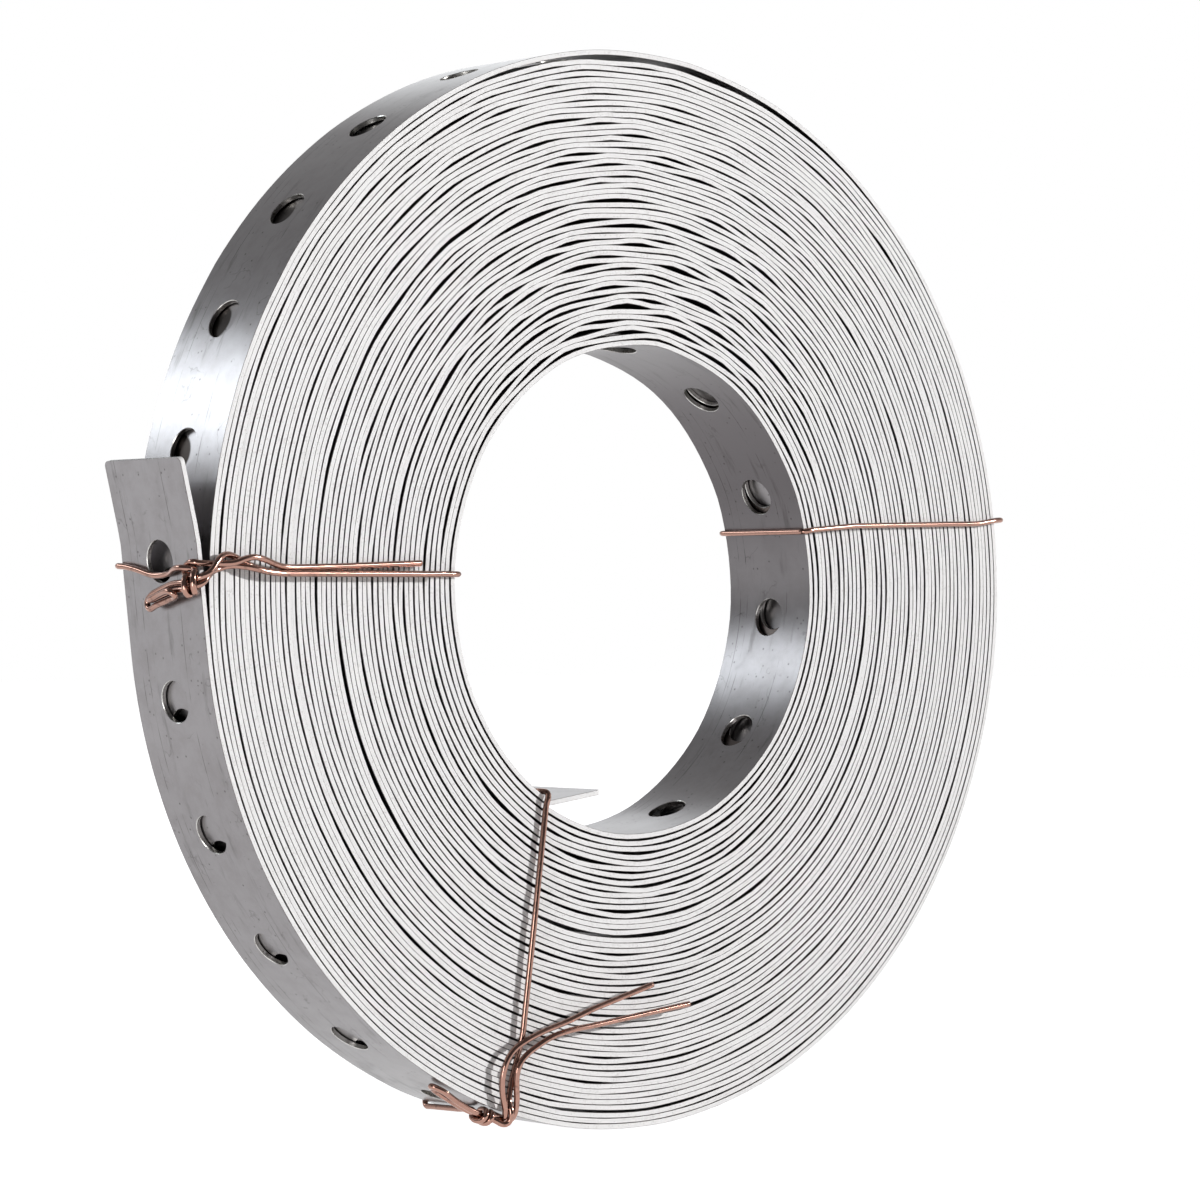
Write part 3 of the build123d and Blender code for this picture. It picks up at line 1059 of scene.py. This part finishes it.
@dataclass(frozen=True)
class BandSteel:
    """The band's rolled faces: dark grey steel with smudges, lengthwise lines and specks, and with painted
    shade in the bore's upper part, on the turns under the innermost one and under the outer turn's holes.
    """

    clean: tuple = (0.275, 0.262, 0.268, 1)
    smudged: tuple = (0.242, 0.228, 0.232, 1)
    oil_and_shade: tuple = (0.118, 0.108, 0.112, 1)
    dirt: tuple = (0.03, 0.025, 0.022, 1)
    line_places: tuple = (0.0074, 0.0057, -0.0042)
    line_width: float = 0.00011
    bore_edge: tuple = (0.0431, 0.0419)
    # Painted shade of the turns under the innermost one, and where it starts and ends along the band.
    covered_turn_shade: tuple = (0.085, 0.066, 0.058, 1)
    covered_start: tuple = (0.262, 0.27)
    covered_end: tuple = (0.56, 0.6)
    # Painted shade under the outer turn's holes: its colour, size, place across and its start and end along
    # the band.
    hole_shade: tuple = (0.018, 0.013, 0.011, 1)
    hole_shade_radius: float = 0.0031
    hole_shade_across: float = 0.0026
    hole_shade_start: tuple = (18.75, 18.8)
    hole_shade_end: tuple = (19.1, 19.2)
    pitch: float = 0.022
    hole_place: float = 0.0
    roughness: tuple = (0.29, 0.34)

    def material(self, groups: dict) -> bpy.types.Material:
        """The finish as a material.

        Args:
            groups: the shared node groups.

        Returns:
            The material.
        """
        material = bpy.data.materials.new("rolled_band_steel")
        material.use_nodes = True
        tree = Tree(material.node_tree)
        spot = tree.add("ShaderNodeTexCoord").outputs["Object"]
        strip = tree.add("ShaderNodeUVMap", uv_map="band").outputs[0]
        smudge = tree.add("ShaderNodeGroup", node_tree=groups["smudges"])
        tree.tree.links.new(spot, smudge.inputs["Vector"])
        smudge.inputs["Scale"].default_value = 38.0
        smudge.inputs["Cover"].default_value = 0.4
        broken = tree.add("ShaderNodeTexNoise", {"Vector": strip, "Scale": 160.0, "Detail": 3.0}).outputs[0]
        specks = tree.add("ShaderNodeGroup", node_tree=groups["specks"])
        tree.tree.links.new(spot, specks.inputs["Vector"])
        specks.inputs["Scale"].default_value = 1100.0
        specks.inputs["Size"].default_value = 0.32
        tree.tree.links.new(tree.spread(broken, 0.4, 0.7, 0.03, 0.3), specks.inputs["Share"])
        grain = tree.add("ShaderNodeGroup", node_tree=groups["rolling_grain"])
        tree.tree.links.new(strip, grain.inputs["Vector"])
        across = tree.add("ShaderNodeSeparateXYZ", {0: spot}).outputs[1]
        lines = None
        for place in self.line_places:
            away = tree.reckon("ABSOLUTE", tree.reckon("SUBTRACT", across, place))
            line = tree.spread(away, self.line_width, 0.0)
            lines = line if lines is None else tree.reckon("MAXIMUM", lines, line)
        lines = tree.reckon("MULTIPLY", lines, tree.spread(broken, 0.42, 0.62))
        stretched = tree.add("ShaderNodeMapping", {"Vector": strip, "Scale": (70.0, 420.0, 1.0)}).outputs[0]
        smear = tree.add("ShaderNodeTexNoise", {"Vector": stretched, "Scale": 1.0, "Detail": 5.0,
                                                "Roughness": 0.6}).outputs[0]
        smears = tree.spread(smear, 0.56, 0.74)
        rings = tree.add("ShaderNodeTexNoise", {"Vector": spot, "Scale": 95.0, "Detail": 4.0}).outputs[0]
        near_ring = tree.reckon("ABSOLUTE", tree.reckon("SUBTRACT", rings, 0.5))
        dried = tree.reckon("MULTIPLY", tree.spread(near_ring, 0.009, 0.0), tree.spread(broken, 0.5, 0.62))
        mottle = tree.add("ShaderNodeTexNoise", {"Vector": spot, "Scale": 240.0, "Detail": 6.0,
                                                 "Roughness": 0.7}).outputs[0]
        base = tree.blend(tree.spread(mottle, 0.35, 0.7), self.clean, self.smudged)
        turned = tree.add("ShaderNodeSeparateXYZ", {0: spot})
        radius = tree.reckon("SQRT", tree.reckon("ADD", tree.reckon("POWER", turned.outputs[0], 2.0),
                                                 tree.reckon("POWER", turned.outputs[2], 2.0)))
        in_bore = tree.spread(radius, self.bore_edge[1], self.bore_edge[0], 1.0, 0.0)
        # Painted shade: the bore's turn darkens towards its top and hardly at its bottom; the same dark colour
        # also serves the smudges.
        bore_top_shade = tree.reckon("MULTIPLY", in_bore, tree.spread(turned.outputs[2], -0.014, 0.02, 0.05, 1.0))
        smudges_and_bore_shade = tree.reckon("MAXIMUM", bore_top_shade, tree.reckon("MULTIPLY", smudge.outputs[0], 0.25))
        colour = tree.blend(smudges_and_bore_shade, base, self.oil_and_shade)
        run = tree.add("ShaderNodeSeparateXYZ", {0: strip}).outputs[0]
        # Painted shade: the turns under the innermost one, seen through its holes, are darkened to brown.
        covered = tree.reckon("MULTIPLY", tree.spread(run, *self.covered_start),
                              tree.spread(run, *self.covered_end, 1.0, 0.0))
        colour = tree.blend(tree.reckon("MULTIPLY", covered, 0.85), colour, self.covered_turn_shade)
        # Painted shade: a dark disc on the turn beneath the outer turn, centred under each of that turn's
        # holes over part of a turn.
        ahead = tree.reckon("SUBTRACT", run, self.hole_place - self.pitch / 2)
        within = tree.reckon("SUBTRACT", tree.reckon("FLOORED_MODULO", ahead, self.pitch), self.pitch / 2)
        beside = tree.reckon("SUBTRACT", across, self.hole_shade_across)
        off_hole_shade = tree.reckon("SQRT", tree.reckon("ADD", tree.reckon("MULTIPLY", within, within),
                                                    tree.reckon("MULTIPLY", beside, beside)))
        hole_shade_mask = tree.reckon("MULTIPLY", tree.spread(run, *self.hole_shade_start),
                            tree.spread(run, *self.hole_shade_end, 1.0, 0.0))
        hole_shade_mask = tree.reckon("MULTIPLY", hole_shade_mask, tree.spread(off_hole_shade, self.hole_shade_radius + 0.0003,
                                                           self.hole_shade_radius - 0.0002))
        colour = tree.blend(hole_shade_mask, colour, self.hole_shade)
        colour = tree.blend(tree.reckon("MULTIPLY", smears, 0.42), colour, self.dirt)
        colour = tree.blend(tree.reckon("MULTIPLY", dried, 0.28), colour, self.dirt)
        colour = tree.blend(tree.reckon("MULTIPLY", lines, 0.75), colour, self.dirt)
        colour = tree.blend(tree.reckon("MULTIPLY", specks.outputs[0], 0.8), colour, self.dirt)
        rough = tree.reckon("ADD", tree.spread(smudge.outputs[0], 0.0, 1.0, *self.roughness),
                            tree.reckon("MULTIPLY", in_bore, 0.05))
        bump = tree.add("ShaderNodeBump", {"Height": grain.outputs[0], "Strength": 0.05,
                                           "Distance": 0.00002})
        shader = tree.add("ShaderNodeBsdfPrincipled", {"Base Color": colour, "Roughness": rough,
                                                       "Metallic": 1.0, "Normal": bump.outputs[0]})
        tree.add("ShaderNodeOutputMaterial", {"Surface": shader.outputs[0]})
        return material


@dataclass(frozen=True)
class CutEdge:
    """The band's slit edges: bright and matt, with fine pits."""

    bright: tuple = (0.85, 0.838, 0.832, 1)
    worn: tuple = (0.62, 0.6, 0.59, 1)
    pit: tuple = (0.22, 0.17, 0.15, 1)

    def material(self, groups: dict) -> bpy.types.Material:
        """The finish as a material.

        Args:
            groups: the shared node groups.

        Returns:
            The material.
        """
        material = bpy.data.materials.new("slit_edge_steel")
        material.use_nodes = True
        tree = Tree(material.node_tree)
        spot = tree.add("ShaderNodeTexCoord").outputs["Object"]
        worn = tree.add("ShaderNodeGroup", node_tree=groups["smudges"])
        tree.tree.links.new(spot, worn.inputs["Vector"])
        worn.inputs["Scale"].default_value = 420.0
        worn.inputs["Cover"].default_value = 0.5
        pits = tree.add("ShaderNodeGroup", node_tree=groups["specks"])
        tree.tree.links.new(spot, pits.inputs["Vector"])
        pits.inputs["Scale"].default_value = 2600.0
        pits.inputs["Size"].default_value = 0.42
        pits.inputs["Share"].default_value = 0.3
        place = tree.add("ShaderNodeSeparateXYZ", {0: spot})
        radius = tree.reckon("SQRT", tree.reckon("ADD", tree.reckon("POWER", place.outputs[0], 2.0),
                                                 tree.reckon("POWER", place.outputs[2], 2.0)))
        along = tree.add("ShaderNodeSeparateXYZ", {0: tree.add("ShaderNodeUVMap", uv_map="band").outputs[0]})
        strip = tree.add("ShaderNodeCombineXYZ", {0: along.outputs[0], 1: radius})
        streaks = tree.add("ShaderNodeGroup", node_tree=groups["rolling_grain"])
        tree.tree.links.new(strip.outputs[0], streaks.inputs["Vector"])
        streaks.inputs["Fineness"].default_value = 3.0
        dull = tree.reckon("MAXIMUM", tree.reckon("MULTIPLY", worn.outputs[0], 0.5),
                           tree.spread(streaks.outputs[0], 0.5, 0.75))
        colour = tree.blend(dull, self.bright, self.worn)
        colour = tree.blend(tree.reckon("MULTIPLY", pits.outputs[0], 0.4), colour, self.pit)
        bump = tree.add("ShaderNodeBump", {"Height": pits.outputs[0], "Strength": 0.3,
                                           "Distance": 0.00003}, invert=True)
        shader = tree.add("ShaderNodeBsdfPrincipled", {"Base Color": colour, "Roughness": 0.6,
                                                       "Metallic": 0.03, "Specular IOR Level": 0.25,
                                                       "Normal": bump.outputs[0]})
        tree.add("ShaderNodeOutputMaterial", {"Surface": shader.outputs[0]})
        return material


@dataclass(frozen=True)
class ShoulderOxideAndGapShade:
    """The slit edges' turned-over shoulders: dark brown oxide, darkened further as painted shade of the gaps
    between the turns, matt and a little uneven.
    """

    oxide_and_gap_shade: tuple = (0.075, 0.059, 0.054, 1)
    rubbed: tuple = (0.2, 0.175, 0.165, 1)

    def material(self, groups: dict) -> bpy.types.Material:
        """The finish as a material.

        Args:
            groups: the shared node groups.

        Returns:
            The material.
        """
        material = bpy.data.materials.new("shoulder_oxide_and_painted_gap_shade")
        material.use_nodes = True
        tree = Tree(material.node_tree)
        spot = tree.add("ShaderNodeTexCoord").outputs["Object"]
        rubbed = tree.add("ShaderNodeGroup", node_tree=groups["smudges"])
        tree.tree.links.new(spot, rubbed.inputs["Vector"])
        rubbed.inputs["Scale"].default_value = 300.0
        rubbed.inputs["Cover"].default_value = 0.4
        # The dark brown is oxide and also painted shade of the gaps between the turns; rubbed patches lighten
        # it.
        colour = tree.blend(rubbed.outputs[0], self.oxide_and_gap_shade, self.rubbed)
        shader = tree.add("ShaderNodeBsdfPrincipled", {"Base Color": colour, "Roughness": 0.6})
        tree.add("ShaderNodeOutputMaterial", {"Surface": shader.outputs[0]})
        return material


@dataclass(frozen=True)
class PunchedHole:
    """The punched holes' walls: sheared steel, brighter at the burr."""

    bright: tuple = (0.5, 0.49, 0.47, 1)
    torn: tuple = (0.2, 0.18, 0.16, 1)

    def material(self, groups: dict) -> bpy.types.Material:
        """The finish as a material.

        Args:
            groups: the shared node groups.

        Returns:
            The material.
        """
        material = bpy.data.materials.new("punched_steel")
        material.use_nodes = True
        tree = Tree(material.node_tree)
        spot = tree.add("ShaderNodeTexCoord").outputs["Object"]
        torn = tree.add("ShaderNodeGroup", node_tree=groups["smudges"])
        tree.tree.links.new(spot, torn.inputs["Vector"])
        torn.inputs["Scale"].default_value = 700.0
        colour = tree.blend(torn.outputs[0], self.bright, self.torn)
        shader = tree.add("ShaderNodeBsdfPrincipled", {"Base Color": colour, "Roughness": 0.3,
                                                       "Metallic": 1.0})
        tree.add("ShaderNodeOutputMaterial", {"Surface": shader.outputs[0]})
        return material


@dataclass(frozen=True)
class CopperWire:
    """The ties' copper-coloured skin: glossy, with darker rubbed patches and fine scratches."""

    bright: tuple = (0.34, 0.195, 0.155, 1)
    dark: tuple = (0.12, 0.07, 0.058, 1)

    def material(self, groups: dict) -> bpy.types.Material:
        """The finish as a material.

        Args:
            groups: the shared node groups.

        Returns:
            The material.
        """
        material = bpy.data.materials.new("coppered_wire")
        material.use_nodes = True
        tree = Tree(material.node_tree)
        spot = tree.add("ShaderNodeTexCoord").outputs["Object"]
        strip = tree.add("ShaderNodeUVMap", uv_map="band").outputs[0]
        rubbed = tree.add("ShaderNodeGroup", node_tree=groups["smudges"])
        tree.tree.links.new(spot, rubbed.inputs["Vector"])
        rubbed.inputs["Scale"].default_value = 260.0
        rubbed.inputs["Cover"].default_value = 0.45
        grain = tree.add("ShaderNodeGroup", node_tree=groups["rolling_grain"])
        tree.tree.links.new(strip, grain.inputs["Vector"])
        colour = tree.blend(tree.reckon("MULTIPLY", rubbed.outputs[0], 0.7), self.bright, self.dark)
        rough = tree.spread(rubbed.outputs[0], 0.0, 1.0, 0.13, 0.24)
        bump = tree.add("ShaderNodeBump", {"Height": grain.outputs[0], "Strength": 0.06,
                                           "Distance": 0.00002})
        shader = tree.add("ShaderNodeBsdfPrincipled", {"Base Color": colour, "Roughness": rough,
                                                       "Metallic": 1.0, "Normal": bump.outputs[0]})
        tree.add("ShaderNodeOutputMaterial", {"Surface": shader.outputs[0]})
        return material


@dataclass
class Studio:
    """A pale floor and backdrop, soft lights and the camera, in metres."""

    image_width: float = 1200.0
    image_height: float = 1192.0
    focal_pixels: float = 3909.0
    distance: float = 0.6679
    azimuth: float = -42.58
    elevation: float = -0.47
    centre_pixel: tuple = (599.0, 588.0)
    sensor: float = 36.0
    backdrop_sides: tuple = (-0.38, 1.0)
    backdrop_top: tuple = (0.62, 0.3)
    room_light: tuple = (0.15, 0.15, 0.154, 1)
    room_mirrored: tuple = (0.12, 0.12, 0.125, 1)
    mirrored_top: float = 0.4
    floor_glow: float = 0.87
    floor_shading: float = 0.85

    def direction(self, azimuth: float, elevation: float) -> Vector:
        """A unit direction away from the coil.

        Args:
            azimuth: degrees from -Y towards +X.
            elevation: degrees above the floor.

        Returns:
            The direction.
        """
        turn, rise = radians(azimuth), radians(elevation)
        return Vector((sin(turn) * cos(rise), -cos(turn) * cos(rise), sin(rise)))

    def camera(self) -> None:
        """Sets the camera at the photo's angle, distance and framing."""
        lens = bpy.data.cameras.new("camera")
        lens.sensor_width = self.sensor
        lens.lens = self.focal_pixels / self.image_width * self.sensor
        lens.shift_x = (self.image_width / 2 - self.centre_pixel[0]) / self.image_width
        lens.shift_y = (self.centre_pixel[1] - self.image_height / 2) / self.image_width
        lens.clip_start, lens.clip_end = 0.01, 50.0
        camera = bpy.data.objects.new("camera", lens)
        bpy.context.scene.collection.objects.link(camera)
        towards = self.direction(self.azimuth, self.elevation)
        camera.location = towards * self.distance
        camera.rotation_euler = towards.to_track_quat("Z", "Y").to_euler()
        bpy.context.scene.camera = camera

    def lamp(self, name: str, azimuth: float, elevation: float, away: float, size: tuple,
             power: float, colour: tuple = (1.0, 1.0, 1.0)) -> None:
        """Adds a soft rectangular lamp that looks at the coil.

        Args:
            name: the lamp's name.
            azimuth: its direction's azimuth.
            elevation: its direction's elevation.
            away: its distance.
            size: its width and height.
            power: its power in watts.
            colour: its colour.
        """
        light = bpy.data.lights.new(name, "AREA")
        light.shape = "RECTANGLE"
        light.size, light.size_y = size
        light.energy = power
        light.color = colour
        lamp = bpy.data.objects.new(name, light)
        bpy.context.scene.collection.objects.link(lamp)
        towards = self.direction(azimuth, elevation)
        lamp.location = towards * away
        lamp.rotation_euler = towards.to_track_quat("Z", "Y").to_euler()

    def background(self) -> None:
        """A white backdrop that the steel mirrors from behind and beside it, in a grey room."""
        world = bpy.data.worlds.new("backdrop")
        bpy.context.scene.world = world
        world.use_nodes = True
        tree = Tree(world.node_tree)
        path = tree.add("ShaderNodeLightPath")
        heading = tree.add("ShaderNodeTexCoord").outputs["Generated"]
        behind = tree.add("ShaderNodeVectorMath", {0: heading, 1: -self.direction(self.azimuth, 0.0)},
                          operation="DOT_PRODUCT").outputs["Value"]
        height = tree.add("ShaderNodeSeparateXYZ", {0: heading}).outputs[2]
        sweep = tree.reckon("MULTIPLY", tree.spread(behind, *self.backdrop_sides),
                            tree.spread(height, *self.backdrop_top, self.mirrored_top, 1.0))
        mirrored = tree.reckon("MULTIPLY", path.outputs["Is Glossy Ray"], sweep)
        direct = tree.reckon("MAXIMUM", path.outputs["Is Camera Ray"], path.outputs["Is Transmission Ray"])
        room = tree.blend(path.outputs["Is Glossy Ray"], self.room_light, self.room_mirrored)
        grey = tree.add("ShaderNodeBackground", {"Color": room, "Strength": 1.0})
        white = tree.add("ShaderNodeBackground", {"Color": (1, 1, 1, 1), "Strength": 1.0})
        mix = tree.add("ShaderNodeMixShader", {0: tree.reckon("MAXIMUM", direct, mirrored),
                                               1: grey.outputs[0], 2: white.outputs[0]})
        tree.add("ShaderNodeOutputWorld", {"Surface": mix.outputs[0]})

    def floor(self) -> None:
        """A wide pale floor at the coil's lowest point, white to the camera but for its shadow."""
        low = cad_box[0][2]
        mesh = bpy.data.meshes.new("floor")
        half = 4.0
        mesh.from_pydata([(-half, -half, low), (half, -half, low), (half, half, low), (-half, half, low)],
                         [], [(0, 1, 2, 3)])
        material = bpy.data.materials.new("floor")
        material.use_nodes = True
        tree = Tree(material.node_tree)
        path = tree.add("ShaderNodeLightPath")
        seen = tree.reckon("MAXIMUM", path.outputs["Is Camera Ray"],
                           tree.reckon("MAXIMUM", path.outputs["Is Glossy Ray"],
                                       path.outputs["Is Transmission Ray"]))
        shade = (self.floor_shading,) * 3 + (1,)
        plain = tree.add("ShaderNodeBsdfDiffuse", {"Color": (0.7, 0.7, 0.7, 1)})
        shaded = tree.add("ShaderNodeBsdfDiffuse", {"Color": shade})
        glow = tree.add("ShaderNodeEmission", {"Color": (1, 1, 1, 1), "Strength": self.floor_glow})
        pale = tree.add("ShaderNodeAddShader", {0: shaded.outputs[0], 1: glow.outputs[0]})
        mix = tree.add("ShaderNodeMixShader", {0: seen, 1: plain.outputs[0], 2: pale.outputs[0]})
        tree.add("ShaderNodeOutputMaterial", {"Surface": mix.outputs[0]})
        mesh.materials.append(material)
        floor = bpy.data.objects.new("floor", mesh)
        bpy.context.scene.collection.objects.link(floor)

    def build(self) -> None:
        """Sets up the whole studio."""
        bpy.context.scene.view_settings.view_transform = "Standard"
        self.camera()
        self.background()
        self.floor()
        self.lamp("key", 45.0, 18.0, 6.0, (0.22, 0.22), 322.0)
        self.lamp("left_fill", -72.0, -5.0, 0.42, (0.12, 0.12), 0.42)
        self.lamp("left_panel", 180 + 36.0, 24.5, 1.2, (0.55, 0.25), 2.6, (0.88, 0.96, 1.0))
        self.lamp("right_panel", 180 - 39.0, 22.0, 1.2, (0.4, 0.4), 0.5, (0.92, 0.97, 1.0))


def main() -> None:
    """Builds the coil and its studio, piece by piece."""
    logging.basicConfig(level=logging.INFO, format="%(message)s")
    groups = {"smudges": smudge_group(), "specks": speck_group(), "rolling_grain": grain_group()}
    coil = BandCoil()
    # hole_place puts the painted shade where the outer turn's holes lie over the turn beneath.
    steel = BandSteel(pitch=coil.pitch * MM, hole_place=(coil.inner_first_hole + coil.under_hole(0.87)) * MM)
    finishes = [finish.material(groups) for finish in (steel, CutEdge(), PunchedHole(), ShoulderOxideAndGapShade())]
    coil.build(finishes)
    copper = CopperWire().material(groups)
    for tie in (LeftTie(), BottomTie(), RightTie()):
        tie.build(copper)
    Studio().build()


if __name__ == "__main__":
    main()
